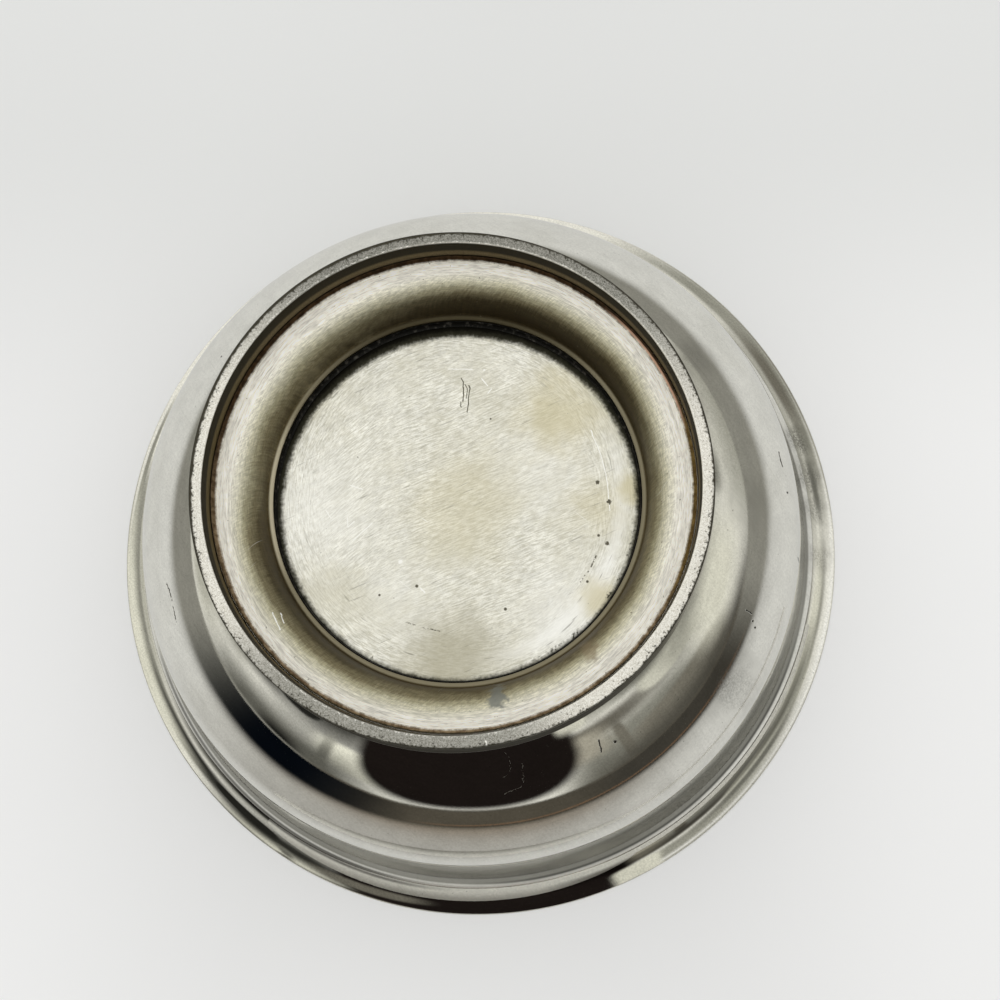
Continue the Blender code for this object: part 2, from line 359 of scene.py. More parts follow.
class Finish(Recipe):
    """A finish, worked out from the place on the bowl. Its tone is the colour so far."""

    def __init__(self, name, colour, roughness, metallic=1.0, specular=0.5):
        self.material = bpy.data.materials.new(name)
        self.material.use_nodes = True
        super().__init__(self.material.node_tree)
        self.shader = self.tree.nodes["Principled BSDF"].inputs
        self.shader["Specular IOR Level"].default_value = specular
        self.show(colour, roughness, metallic)
        self.where = self.step("ShaderNodeTexCoord", output="Object")
        self.x, self.y, self.height = self.split(self.where)
        self.radius = self.math("POWER", self.x * self.x + self.y * self.y, 0.5)
        self.out = self.most(self.radius, 0.001)
        self.flat = self.vector(self.x, self.y)
        self.tone = self.raised = None

    def show(self, colour=None, roughness=None, metallic=None):
        self.feed(self.shader["Base Color"], colour)
        self.feed(self.shader["Roughness"], roughness)
        self.feed(self.shader["Metallic"], metallic)

    def relief(self, height, depth):
        """Adds a bump whose full height is the depth, in metres."""
        feeds = {"Height": height, "Distance": depth, "Normal": self.raised}
        self.raised = self.step("ShaderNodeBump", feeds)
        self.feed(self.shader["Normal"], self.raised)

    def paint(self, share, tone, strength=None):
        """Lays a tone over the colour so far, where the share is above 0."""
        self.tone = self.mix(share * strength if strength else share, self.tone, tone)

    def vary(self, *wears):
        """Darkens and lightens the colour by each wear pattern, between a low and a high factor."""
        for wear, low, high in wears:
            factor = self.mix(self.band(wear, 0.34, 0.66), (low, low, low), (high, high, high))
            self.tone = self.mix(1.0, self.tone, factor, "MULTIPLY")

    def mottle(self, scale, detail=2.0, roughness=0.5, distortion=0.0, seed=0.0):
        return self.noise(self.where, scale, detail, roughness, distortion, seed)

    def lines_round(self, across, along, seed=0.0, detail=2.0):
        """Grain that runs round the axis: across is per metre, along is per radian."""
        shrink = along / self.out
        reach = self.radius * across + self.height * (across * 0.7)
        return self.noise(self.vector(reach, self.x * shrink, self.y * shrink), detail=detail, seed=seed)

    def lines_out(self, across, along, seed=0.0, detail=2.0):
        """Grain that runs out from the axis: across is per radian, along is per metre."""
        shrink = across / self.out
        reach = (self.radius + self.height) * along
        return self.noise(self.vector(reach, self.x * shrink, self.y * shrink), detail=detail, seed=seed)

    def lines_straight(self, heading, across, along, seed=0.0, detail=2.0):
        """Grain that runs at one heading, in degrees: both counts are per metre."""
        u, v = self.toward(heading), self.toward(heading + 90.0)
        return self.noise(self.vector(u * along, v * across), detail=detail, seed=seed)

    def toward(self, azimuth):
        """How far the place lies toward the azimuth, in metres."""
        angle = math.radians(azimuth)
        return self.x * math.cos(angle) + self.y * math.sin(angle)

    def sector(self, centre, half, soft):
        """1 within half degrees of the centre azimuth, falling to 0 over the soft margin."""
        near = math.cos(math.radians(max(half - soft, 0.0)))
        far = math.cos(math.radians(min(half + soft, 180.0)))
        return self.band(self.toward(centre) / self.out, far, near)

    def spots(self, *given, share=None):
        """Spots seen from above: strength, place and size in millimetres, softness, raggedness, seed.

        Each spot joins the share as soon as it is worked out, which keeps few sums open at once.
        """
        for strength, x, y, size, *rest in given:
            soft, ragged, seed = (*rest, *(0.3, 0.0, 0.0)[len(rest):])
            distance = self.vector_math("DISTANCE", self.flat, (x / 1000, y / 1000, 0.0), output="Value")
            if ragged:
                wander = self.mottle(2500.0 / size, 3.0, seed=seed)
                distance = distance + (wander - 0.5) * (ragged * size / 1000)
            half = size / 2000
            shown = self.band(distance, half * (1 - soft), half * (1 + soft), strength, 0.0)
            share = self.most(share, shown) if share else shown
        return share

    def strokes(self, *given, share=None, wobble=0.5):
        """Drawn lines seen from above: points and width in millimetres, then how broken it is."""
        shift = (self.mottle(900.0, seed=1.0) - 0.5) * (wobble / 1000)
        place = self.vector(self.x + shift, self.y + shift)
        gaps = self.mottle(1500.0, 1.0, seed=3.0)
        for points, width, *broken in given:
            nearest = None
            for start, end in zip(points, points[1:]):
                start, end = (Vector((*point, 0.0)) / 1000 for point in (start, end))
                run = end - start
                offset = self.vector_math("SUBTRACT", place, start)
                along = self.vector_math("DOT_PRODUCT", offset, run / run.length_squared, output="Value")
                foot = self.scaled(run, self.math("ADD", along, 0.0, clamp=True))
                distance = self.vector_math("DISTANCE", offset, foot, output="Value")
                nearest = self.math("MINIMUM", nearest, distance) if nearest else distance
            drawn = self.band(nearest, width * 0.3 / 1000, width * 0.6 / 1000, 1.0, 0.0)
            if broken:
                drawn = drawn * self.band(gaps, broken[0] - 0.08, broken[0] + 0.08)
            share = self.most(share, drawn) if share else drawn
        return share


# Turning

def turning_tree():
    """Geometry Nodes that turn a section about Z and can raise lumps on it."""
    tree = bpy.data.node_groups.new("turning", "GeometryNodeTree")
    inputs = {"Section": "Geometry", "Steps round": "Int", "Closed section": "Int",
              "Lump height": "Float", "Lump length": "Float", "Lump seed": "Float",
              "Material": "Material"}
    for name, kind in inputs.items():
        tree.interface.new_socket(name, in_out="INPUT", socket_type="NodeSocket" + kind)
    tree.interface.new_socket("Piece", in_out="OUTPUT", socket_type="NodeSocketGeometry")
    lathe = Recipe(tree)
    group_input = lathe.step("NodeGroupInput").socket.node.outputs
    section, steps, closed, lump_height, lump_length, lump_seed, material = (
        Level(lathe, group_input[name]) for name in inputs)

    points = lathe.step("GeometryNodeAttributeDomainSize", {0: section}, "Point Count")
    per_row = steps + 1
    sheet = lathe.step("GeometryNodeMeshGrid", {"Vertices X": points + closed, "Vertices Y": per_row},
                       "Mesh")
    index = lathe.step("GeometryNodeInputIndex")
    row = lathe.math("FLOOR", (index + 0.5) / per_row)
    angle = lathe.math("FRACT", (index - row * per_row) / steps + 1e-6) * math.tau
    feeds = {"Geometry": section, "Value": lathe.step("GeometryNodeInputPosition"),
             "Index": lathe.math("MODULO", row, points)}
    radius, _, height = lathe.split(
        lathe.step("GeometryNodeSampleIndex", feeds, data_type="FLOAT_VECTOR"))
    place = lathe.vector(radius * lathe.math("COSINE", angle), radius * lathe.math("SINE", angle), height)
    piece = lathe.step("GeometryNodeSetPosition", {"Geometry": sheet, "Position": place})
    piece = lathe.step("GeometryNodeMergeByDistance", {"Geometry": piece, "Distance": WELD})

    lump = lathe.noise(None, 1.0 / lump_length, detail=3.0, seed=lump_seed)
    push = lathe.scaled(lathe.step("GeometryNodeInputNormal"), (lump - 0.5) * lump_height)
    piece = lathe.step("GeometryNodeSetPosition", {"Geometry": piece, "Offset": push})

    corner = lathe.step("GeometryNodeInputMeshEdgeAngle", output="Unsigned Angle")
    sharp = lathe.math("GREATER_THAN", corner, SHARP_CORNER)
    piece = lathe.step("GeometryNodeSetShadeSmooth", {"Geometry": piece})
    piece = lathe.step("GeometryNodeSetShadeSmooth",
                       {"Geometry": piece, "Selection": sharp, "Shade Smooth": False}, domain="EDGE")
    piece = lathe.step("GeometryNodeRealizeInstances", {"Geometry": piece})
    piece = lathe.step("GeometryNodeSetMaterial", {"Geometry": piece, "Material": material})
    lathe.step("NodeGroupOutput", {"Piece": piece})
    return tree


def turned(name, section, material=None, closed=True, lump_height=0.0, lump_length=0.002, seed=0.0,
           steps=STEPS_ROUND):
    outline = bpy.data.meshes.new(name + "_section")
    edges = [(i, i + 1) for i in range(len(section) - 1)]
    outline.from_pydata([(radius, 0.0, height) for radius, height in section], edges, [])
    piece = bpy.data.objects.new(name, outline)
    bpy.context.scene.collection.objects.link(piece)
    lathe = piece.modifiers.new("turning", "NODES")
    lathe.node_group = TURNING
    sizes = {
        "Steps round": steps,
        "Closed section": 1 if closed else 0,
        "Lump height": lump_height,
        "Lump length": lump_length,
        "Lump seed": seed,
        "Material": material,
    }
    for item in TURNING.interface.items_tree:
        if item.name in sizes:
            lathe[item.identifier] = sizes[item.name]
    evaluated = piece.evaluated_get(bpy.context.evaluated_depsgraph_get())
    mesh = bpy.data.meshes.new_from_object(evaluated)
    piece.modifiers.clear()
    piece.data = mesh
    mesh.name = name
    if signed_volume(mesh) < 0:
        mesh.flip_normals()
    return piece


def signed_volume(mesh):
    total = 0.0
    mesh.calc_loop_triangles()
    for triangle in mesh.loop_triangles:
        a, b, c = (mesh.vertices[i].co for i in triangle.vertices)
        total += a.dot(b.cross(c)) / 6.0
    return total


def draw_in(run):
    """Thins the bead inside the neck, which is full only on the far side, where its black also stands in
    for the shade of the crevice.
    """
    edge = SEAT_EDGE_RADIUS - JOINT_GAP
    for vertex in run.data.vertices:
        x, y, z = vertex.co
        radius = math.hypot(x, y)
        if radius < edge:
            toward = (1 + math.cos(math.atan2(y, x) - math.radians(100))) / 2
            wanted = edge - (edge - radius) * (0.2 + 0.8 * toward ** 2)
            vertex.co = (x * wanted / radius, y * wanted / radius, z)


# Finishes

def polished_plate():
    """The bowl's outside: a worn mirror with smudges, specks of tarnish, a few nicks and painted
    reflections of shade.
    """
    plate = Finish("polished_silver_plate", (0.84, 0.83, 0.75), 0.03)
    smear = plate.band(plate.mottle(38.0, 5.0, 0.6, 0.6, 1.3), 0.46, 0.68)
    polish = plate.lines_round(1300.0, 12.0, 4.1, 3.0)
    fine = plate.mottle(1600.0, 4.0, 0.8, seed=3.3)
    wiped = plate.lines_straight(-48.0, 1400.0, 150.0, 31.0, 4.0)
    plate.tone = plate.mix(smear, (0.88, 0.87, 0.82), (0.83, 0.82, 0.765))
    plate.vary((polish, 0.96, 1.04), (fine, 0.88, 1.07), (wiped, 0.975, 1.025))
    hairline = plate.most(
        plate.band(plate.lines_straight(-52.0, 1900.0, 60.0, 21.0), 0.62, 0.70),
        plate.band(plate.lines_straight(38.0, 1900.0, 50.0, 22.0), 0.65, 0.72),
        plate.band(plate.lines_round(1900.0, 6.0, 23.0), 0.64, 0.72),
    )
    plate.paint(hairline, (0.40, 0.39, 0.34), 0.13)
    # Painted reflection of shade: a darker band in the throat, where the lip mirrors the shaded cloth next
    # to it. It reaches higher on one side.
    low = plate.height - plate.sector(-72.0, 42.0, 8.0) * 0.010
    throat_shade = plate.band(plate.height, 0.0060, 0.0068) * plate.band(low, 0.0155, 0.0115)
    plate.paint(throat_shade * (plate.lines_round(1500.0, 2.0, 6.0) * 0.4 + 0.6), (0.19, 0.185, 0.155))
    # Painted reflections: thin dark lines on the lip, where it mirrors the shaded edge between the lip and
    # the cloth.
    for inner, outer, soft, centre, half, tone in (
        (0.1078, 0.1098, 0.0006, -45.0, 28.0, (0.10, 0.095, 0.08)),
        (0.1052, 0.1062, 0.0004, -130.0, 28.0, (0.05, 0.05, 0.045)),
        (0.1064, 0.1073, 0.0004, -117.0, 18.0, (0.05, 0.05, 0.045)),
        (0.1041, 0.1049, 0.0004, -52.0, 32.0, (0.05, 0.05, 0.045)),
    ):
        painted_dark_reflection = plate.between(plate.radius, inner, outer, soft) * plate.sector(centre, half, 8.0)
        plate.paint(painted_dark_reflection, tone, 0.75)

    grime = plate.spots(
        (0.45, 72.8, -46.9, 14.0, 0.8, 0.9, 4.0), (0.35, 62.4, 40.9, 10.0, 0.8, 0.9, 5.0),
        (0.40, -52.0, 44.0, 18.0, 0.8, 0.9, 6.0), (0.45, -8.0, 70.0, 14.0, 0.8, 0.9, 7.0),
        (0.20, 76.5, 0.6, 12.0, 0.8, 0.9, 8.0), (0.75, 102.8, 32.7, 8.0, 0.8, 1.1, 9.0),
        (0.65, 105.4, 21.2, 9.0, 0.8, 1.1, 10.0), (0.60, 107.6, 9.9, 8.0, 0.8, 1.1, 11.0),
        (0.45, 108.6, -5.0, 8.0, 0.8, 1.1, 12.0),
    ) * plate.band(fine, 0.35, 0.62)
    patch = plate.band(plate.mottle(55.0, 3.0, seed=7.7), 0.50, 0.66)
    specks = patch * plate.band(plate.mottle(1900.0, 3.0, 0.7, seed=2.2), 0.62, 0.70) * 0.65
    lone_specks = plate.band(plate.mottle(1200.0, 4.0, seed=5.2), 0.67, 0.74) * 0.5
    tarnish = plate.most(grime, specks, lone_specks)
    nicks = plate.strokes(
        ([(88.4, 13.8), (87.8, 15.6), (87.5, 17.9)], 0.4),
        ([(93.1, -10.7), (94.0, -11.9)], 0.4),
        ([(75.2, -27.1), (76.9, -27.9)], 0.4),
        ([(36.0, -60.6), (36.7, -63.5)], 0.4),
        ([(-80.7, -20.2), (-79.7, -21.9), (-78.6, -24.9)], 0.4, 0.45),
        ([(-78.3, -26.5), (-77.3, -30.6)], 0.35, 0.50),
        share=plate.spots((1.0, 89.5, 6.5, 0.6), (1.0, 77.3, -29.7, 0.6), (1.0, 78.1, -31.3, 0.6),
                          (1.0, 40.2, -61.0, 0.8, 0.3, 1.0), (1.0, -68.7, 43.8, 0.6)),
    )
    plate.paint(plate.most(tarnish, nicks), (0.06, 0.055, 0.045))
    scratch = plate.strokes(
        ([(12.6, -63.8), (13.7, -65.1), (13.8, -67.7), (13.0, -69.4), (11.5, -70.4)], 0.15, 0.46),
        ([(16.3, -65.9), (17.0, -67.0), (16.9, -69.7), (17.1, -71.0), (16.6, -72.3),
          (14.9, -73.1), (13.2, -73.7), (11.9, -74.5)], 0.15, 0.47),
        wobble=1.4,
    )
    plate.paint(scratch, (0.90, 0.88, 0.82), 0.45)
    plate.show(plate.tone, smear * 0.025 + fine * 0.04 + scratch * 0.3 + tarnish * 0.3 + throat_shade * 0.12)
    plate.relief(plate.lines_round(380.0, 3.0, 8.0, 1.0), 0.000012)
    plate.relief(fine, 0.000002)
    plate.relief(nicks, -0.00006)
    return plate.material


def brushed_underside():
    """The bowl's underside inside the foot: hand brushed, with a few marks and stains, a painted highlight
    and painted shade by the joint.
    """
    disc = Finish("brushed_underside", (0.73, 0.70, 0.58), 0.3)
    slant = disc.blend(disc.band(disc.x, -0.008, -0.030),
                       disc.lines_straight(22.0, 3000.0, 400.0, 1.0, 3.0),
                       disc.lines_straight(40.0, 3000.0, 400.0, 7.0, 3.0))
    border = disc.band(disc.radius, 0.030, 0.042)
    grain = disc.blend(border, slant, disc.lines_round(3000.0, 20.0, 2.0, 3.0))
    cloud = disc.mottle(45.0, 4.0, 0.6, 0.5, 3.0)
    disc.tone = disc.mix(disc.band(grain, 0.36, 0.64), (0.65, 0.63, 0.535), (0.97, 0.955, 0.87))
    disc.vary(
        (disc.lines_straight(27.0, 620.0, 90.0, 17.0, 3.0), 0.94, 1.04),
        (disc.mottle(210.0, 4.0, 0.65, 0.4, 13.0), 0.93, 1.05),
        (disc.mottle(1900.0, 3.0, 0.7, 0.0, 15.0), 0.91, 1.05),
    )
    bright = disc.spots((0.55, 30.0, -30.0, 22.0, 0.9, 0.6, 1.0), (0.40, -34.0, -4.0, 24.0, 0.9, 0.6, 2.0),
                        (0.32, -14.0, -26.0, 18.0, 0.9, 0.6, 3.0), (0.32, 22.0, 6.0, 20.0, 0.9, 0.6, 4.0))
    disc.paint(bright, (0.98, 0.975, 0.93))
    # A painted highlight: a bright crescent near the edge of the flat, on one side.
    highlight_crescent = disc.between(disc.radius, 0.0405, 0.0435, 0.0016) * disc.sector(-32.0, 44.0, 22.0)
    disc.paint(highlight_crescent, (1.0, 0.995, 0.95), 0.7)
    disc.paint(disc.band(cloud, 0.42, 0.70), (0.66, 0.63, 0.50), 0.5)
    stain = disc.spots((0.30, 2.0, -2.0, 26.0, 0.7, 0.8, 1.0), (0.55, 26.0, 22.0, 20.0, 0.8, 0.9, 2.0),
                       (0.40, 35.0, -2.0, 12.0, 0.8, 0.6, 5.0), (0.60, 45.0, 2.2, 8.0, 0.7, 0.6, 3.0),
                       (0.60, 36.0, -26.0, 9.0, 0.7, 0.6, 7.0))
    disc.paint(stain, (0.60, 0.53, 0.30))
    disc.paint(disc.spots((0.70, -1.0, -42.0, 22.0, 0.8, 0.7, 9.0)), (0.42, 0.39, 0.28))

    dark_line, bright_line = (0.12, 0.11, 0.08), (0.98, 0.97, 0.92)
    disc.paint(disc.band(disc.lines_straight(24.0, 1500.0, 110.0, 12.0), 0.64, 0.72), dark_line, 0.40)
    arcs = disc.band(disc.lines_round(1300.0, 6.0, 14.0), 0.64, 0.73)
    disc.paint(arcs * border, dark_line, 0.5)
    disc.paint(disc.band(disc.lines_straight(-38.0, 1500.0, 90.0, 13.0), 0.68, 0.75), bright_line, 0.7)
    bright_marks = disc.strokes(
        ([(-2.8, 34.1), (3.5, 34.0)], 0.26), ([(5.9, 31.4), (7.5, 29.5)], 0.28),
        ([(7.6, 27.5), (8.5, 28.6)], 0.28), ([(-33.6, -3.5), (-32.2, -5.5)], 0.28),
        ([(-28.1, -5.2), (-27.8, -7.9), (-26.2, -6.3)], 0.26),
        ([(-26.3, -11.2), (-23.6, -8.7), (-21.6, -6.8)], 0.26),
        ([(-27.5, 3.0), (-24.3, 2.0)], 0.28), ([(-8.9, -23.4), (-7.7, -24.5)], 0.4),
        ([(34.2, 17.4), (36.8, 11.0), (38.3, 4.3), (38.9, -3.5)], 0.24),
        share=disc.spots((1.0, 6.6, 33.8, 0.5), (1.0, -14.1, -16.7, 1.1, 0.3, 0.6)),
    )
    disc.paint(bright_marks, bright_line)
    pocks = disc.band(disc.mottle(800.0, 3.0, seed=9.0), 0.70, 0.76)
    dark_marks = disc.spots(
        (1.0, -9.8, -22.9, 0.8), (1.0, 12.6, -28.6, 0.8), (1.0, 8.4, 20.6, 0.5), (1.0, -19.2, -25.2, 0.6),
        (1.0, 35.9, 3.8, 0.9, 0.3, 1.2, 1.0), (1.0, 38.8, -1.2, 1.1, 0.3, 1.4, 2.0), (1.0, 36.0, -9.9, 0.7),
        (1.0, 38.2, -12.0, 1.0, 0.3, 1.2, 3.0), (1.0, 33.1, -21.6, 0.7), share=pocks * 0.8)
    dark_marks = disc.strokes(
        ([(0.6, 31.6), (1.1, 30.5), (1.2, 28.3), (1.3, 26.9), (1.2, 25.4)], 0.30),
        ([(2.6, 29.6), (2.9, 28.8), (2.8, 27.9), (2.6, 25.9), (2.6, 24.7), (2.3, 22.4)], 0.30),
        ([(1.6, 29.9), (2.3, 28.8), (2.2, 27.6), (2.0, 26.2)], 0.24), ([(0.6, 25.1), (0.7, 23.7)], 0.26),
        ([(35.6, -14.6), (33.8, -18.4), (31.4, -21.6)], 0.4, 0.52),
        ([(-12.4, -32.0), (-8.0, -33.4), (-3.4, -34.2)], 0.35, 0.50),
        share=dark_marks,
    )
    disc.paint(dark_marks, dark_line)

    # Dark dirt by the neck joint together with painted shade of the crevice. It reaches further on the far
    # side and turns near black right at the joint.
    ragged = disc.mottle(260.0, 3.0, seed=11.0) * 0.5 + disc.mottle(1300.0, 3.0, seed=12.0) * 0.5
    far_side = disc.toward(105.0) / disc.out * 0.5 + 0.5
    reach = disc.radius + disc.math("POWER", far_side, 2.0) * 0.0033 + (ragged - 0.5) * 0.0030
    patchy = (disc.band(reach, 0.0450, 0.0462) * disc.sector(-36.0, 26.0, 14.0)
              * disc.band(ragged, 0.50, 0.58))
    dirt = disc.most(disc.band(reach, 0.0452, 0.0470), patchy)
    disc.paint(dirt, (0.052, 0.050, 0.034))
    disc.paint(disc.band(reach, 0.0468, 0.0484), (0.012, 0.011, 0.008))
    disc.show(disc.tone, grain * 0.22 + cloud * 0.10 + 0.16 + dirt * 0.3)
    disc.relief(grain, 0.00003)
    return disc.material


def satin_inside():
    """The bowl's inside: polished once, dulled by use."""
    plate = Finish("used_inside", (0.83, 0.82, 0.75), 0.12)
    rounds = plate.lines_round(2500.0, 4.0, 3.0, 3.0)
    smudge = plate.mottle(30.0, 5.0, 0.6, 0.5, 8.0)
    plate.tone = plate.mix(plate.band(smudge, 0.5, 0.75), (0.85, 0.84, 0.77), (0.74, 0.72, 0.64))
    hairline = plate.band(plate.lines_straight(35.0, 900.0, 22.0, 4.0, 2.0), 0.70, 0.76)
    plate.paint(hairline, (0.45, 0.43, 0.38), 0.4)
    plate.show(plate.tone, rounds * 0.10 + smudge * 0.12 + 0.03)
    plate.relief(rounds, 0.00001)
    return plate.material


def brushed_plate():
    """The foot's hollow side: turned lines on the flange, short brushing on the shoulder, and painted light
    and shade.
    """
    plate = Finish("brushed_silver_plate", (0.84, 0.82, 0.73), 0.4, specular=0.3)
    rounds = plate.lines_round(1900.0, 8.0, 1.0, 3.0)
    hair = plate.lines_round(3400.0, 30.0, 11.0, 2.0)
    short = plate.lines_out(300.0, 450.0, 2.0, 3.0)
    slanting = plate.lines_straight(38.0, 2800.0, 500.0, 6.0, 3.0)
    level = plate.band(plate.radius, 0.0532, 0.0556)
    grain = plate.blend(level, short * 0.3 + slanting * 0.7, rounds)
    cloud = plate.mottle(90.0, 4.0, 0.6, seed=4.0)
    # The colour darkens from the flange to the neck: tarnish together with painted shade of the recess. The
    # lobes move the dark band out on some sides, as painted shade.
    shade_lobes = (plate.sector(142.0, 38.0, 24.0) * 0.0015 + plate.sector(0.0, 14.0, 20.0) * 0.0010
             - plate.sector(-130.0, 38.0, 30.0) * plate.band(plate.radius, 0.0500, 0.0515) * 0.0010)
    shift = shade_lobes + (cloud - 0.5) * 0.0024 + (grain - 0.5) * 0.0013
    plate.tone = plate.ramp(plate.radius + shift, 0.0480, 0.0580, [
        (0.0486, (0.075, 0.055, 0.022)),
        (0.0494, (0.105, 0.082, 0.038)),
        (0.0504, (0.22, 0.19, 0.11)),
        (0.0514, (0.38, 0.35, 0.23)),
        (0.0526, (0.58, 0.55, 0.41)),
        (0.0540, (0.76, 0.73, 0.60)),
        (0.0556, (0.98, 0.945, 0.83)),
        (0.0575, (1.0, 0.965, 0.85)),
    ])
    # Painted shade: near black at the foot of the neck on the far side and in a narrow sector on the near
    # side.
    sides = plate.most(plate.sector(67.0, 50.0, 30.0) * 0.55, plate.sector(-135.0, 14.0, 22.0) * 0.35)
    plate.paint(plate.band(plate.radius, 0.0510, 0.0494) * sides, (0.018, 0.011, 0.003))
    plate.vary((grain, 0.86, 1.14), (hair, 0.86, 1.16), (cloud, 1.04, 0.96))
    turned_line = plate.most(
        plate.between(plate.radius, 0.05425, 0.05435, 0.00012),
        plate.between(plate.radius, 0.05500, 0.05508, 0.00010),
        plate.between(plate.radius, 0.0565, 0.0566, 0.0001) * 0.6,
    ) * plate.band(cloud, 0.35, 0.6) * 0.5
    plate.paint(turned_line, (0.35, 0.32, 0.22))
    pocks = plate.band(plate.mottle(1100.0, 3.0, seed=8.0), 0.68, 0.73)
    plate.paint(pocks, (0.14, 0.12, 0.08), 0.7)
    plate.paint(plate.spots((0.85, 11.4, -50.6, 4.6, 0.3, 1.2, 3.0)), (0.20, 0.21, 0.19))
    plate.paint(plate.spots((0.60, 33.2, -39.5, 4.2, 0.5, 1.2, 4.0)), (0.26, 0.20, 0.12))
    scratch = plate.strokes(
        ([(-42.8, -31.0), (-40.6, -35.0)], 0.3), ([(-41.0, -31.0), (-39.9, -33.4)], 0.25),
        share=plate.band(plate.lines_straight(52.0, 1200.0, 80.0, 16.0), 0.70, 0.76) * 0.6,
    )
    plate.paint(scratch, (0.97, 0.96, 0.90))
    # The seat's edge: painted shade makes it dark on the far side and painted light makes it lighter on the
    # left.
    seat = plate.band(plate.radius, 0.0482, 0.0477) * plate.band(plate.height, 0.0775, 0.0779)
    rim = plate.mix(plate.sector(92.0, 34.0, 24.0), (0.29, 0.255, 0.165), (0.085, 0.07, 0.035))
    plate.paint(seat, plate.mix(plate.sector(180.0, 16.0, 14.0), rim, (0.62, 0.56, 0.40)))
    # The flange's rounded outer edge: painted shadow of the gap under the ring on the near side and a
    # painted highlight on the right.
    edge = plate.mix(plate.sector(-95.0, 50.0, 30.0), (0.17, 0.16, 0.12), (0.042, 0.038, 0.028))
    edge = plate.mix(plate.sector(0.0, 22.0, 16.0), edge, (0.46, 0.44, 0.37))
    plate.paint(plate.band(plate.radius, 0.0622, 0.0625), edge)
    sloping = 1.0 - level
    plate.show(plate.tone, grain * 0.16 + 0.34 + sloping * 0.12, sloping * 0.40 + 0.10)
    plate.relief(grain, 0.00002)
    plate.relief(plate.most(turned_line, pocks, scratch), -0.00004)
    return plate.material


def pitted_metal():
    """The base ring: bare worn metal on its face, pitted, with brown inner and outer walls, and painted
    light and shade.
    """
    metal = Finish("pitted_base_metal", (0.46, 0.45, 0.42), 0.5, specular=0.2)
    grain = metal.mottle(3600.0, 3.0, 0.7, seed=1.0)
    rough = metal.band(grain, 0.34, 0.66)
    # Painted light and shade on the face: a lit copy of its colour (bare) on the left and right, and a
    # shaded copy on the far and near sides.
    bare = metal.mix(rough, (0.62, 0.59, 0.51), (1.0, 0.98, 0.91))
    shaded_face_tone = metal.mix(rough, (0.13, 0.128, 0.105), (0.42, 0.41, 0.37))
    shaded_face_sides = metal.most(metal.sector(85.0, 54.0, 24.0), metal.sector(-104.0, 34.0, 14.0) * 0.85)
    metal.tone = metal.mix(shaded_face_sides, bare, shaded_face_tone)
    lopsided = (metal.radius + metal.sector(140.0, 50.0, 25.0) * 0.0004
                - metal.sector(-95.0, 50.0, 30.0) * 0.0002)
    toward_edge = metal.band(lopsided, 0.0604, 0.0620)
    pitting = metal.mottle(1500.0, 4.0, 0.75, seed=2.0)
    worn_patch = metal.mottle(420.0, 3.0, 0.6, seed=7.0)
    pits = metal.band(pitting + toward_edge * 0.10 + worn_patch * 0.14, 0.68, 0.74)
    metal.paint(pits, (0.06, 0.055, 0.042), 0.85)
    # Painted highlights: a broken bright line along the face's inner rounded edge.
    inner_edge_glints = metal.between(metal.radius, 0.0594, 0.0598, 0.0001) * metal.band(pitting, 0.50, 0.60)
    metal.paint(inner_edge_glints, (0.98, 0.96, 0.90), 0.8)
    metal.paint(metal.strokes(([(9.3, -60.3), (9.5, -61.6)], 0.35)), (1.0, 0.98, 0.92))
    # A painted highlight on the face's inner edge, on one side.
    inner_lip_highlight = metal.band(metal.radius, 0.05975, 0.0595) * metal.sector(50.0, 50.0, 30.0)
    metal.paint(inner_lip_highlight, (0.92, 0.88, 0.78), 0.4)
    # Painted shade: a dark band on the face's rounded outer edge, with a ragged inner border.
    wander = (pitting - 0.5) * 0.0007 + (worn_patch - 0.5) * 0.0008
    metal.paint(metal.band(lopsided + wander, 0.06155, 0.0620), (0.06, 0.055, 0.04))
    face_colour = metal.tone

    low = metal.band(metal.height, 0.0948, 0.0932)
    metal.tone = metal.mix(low, metal.mix(rough, (0.014, 0.011, 0.004), (0.034, 0.026, 0.010)),
                           metal.mix(rough, (0.10, 0.075, 0.038), (0.20, 0.155, 0.08)))
    # Painted light: the lower part of the inner wall is lighter on the left.
    metal.paint(low * metal.sector(180.0, 22.0, 14.0), (0.125, 0.095, 0.040))
    metal.paint(metal.band(metal.height, 0.0916, 0.0912), (0.02, 0.015, 0.01))
    # The outer wall: brown, with painted shade that darkens it on the near side.
    outer_wall_with_shade = metal.mix(metal.sector(-95.0, 60.0, 30.0),
                           metal.mix(rough, (0.026, 0.024, 0.016), (0.085, 0.08, 0.06)),
                           metal.mix(rough, (0.070, 0.064, 0.043), (0.21, 0.198, 0.15)))
    metal.paint(metal.band(metal.radius, 0.0615, 0.0620), outer_wall_with_shade)
    face = metal.band(metal.height, 0.09815, 0.0984)
    metal.paint(face, face_colour)
    metal.show(metal.tone, grain * 0.25 + 0.32 + (1.0 - face) * 0.25, face * 0.35 + 0.35)
    metal.relief(grain - pits * 1.2, 0.00003)
    return metal.material


def dark_solder():
    """The neck joint: solder gone black with tarnish and dirt."""
    solder = Finish("tarnished_solder", (0.03, 0.028, 0.022), 0.55, 0.7)
    grain = solder.mottle(900.0, 4.0, seed=1.0)
    black = solder.mix(solder.band(grain, 0.5, 0.75), (0.006, 0.0055, 0.004), (0.10, 0.092, 0.078))
    solder.show(black, grain * 0.3 + 0.35)
    solder.relief(grain, 0.0001)
    return solder.material


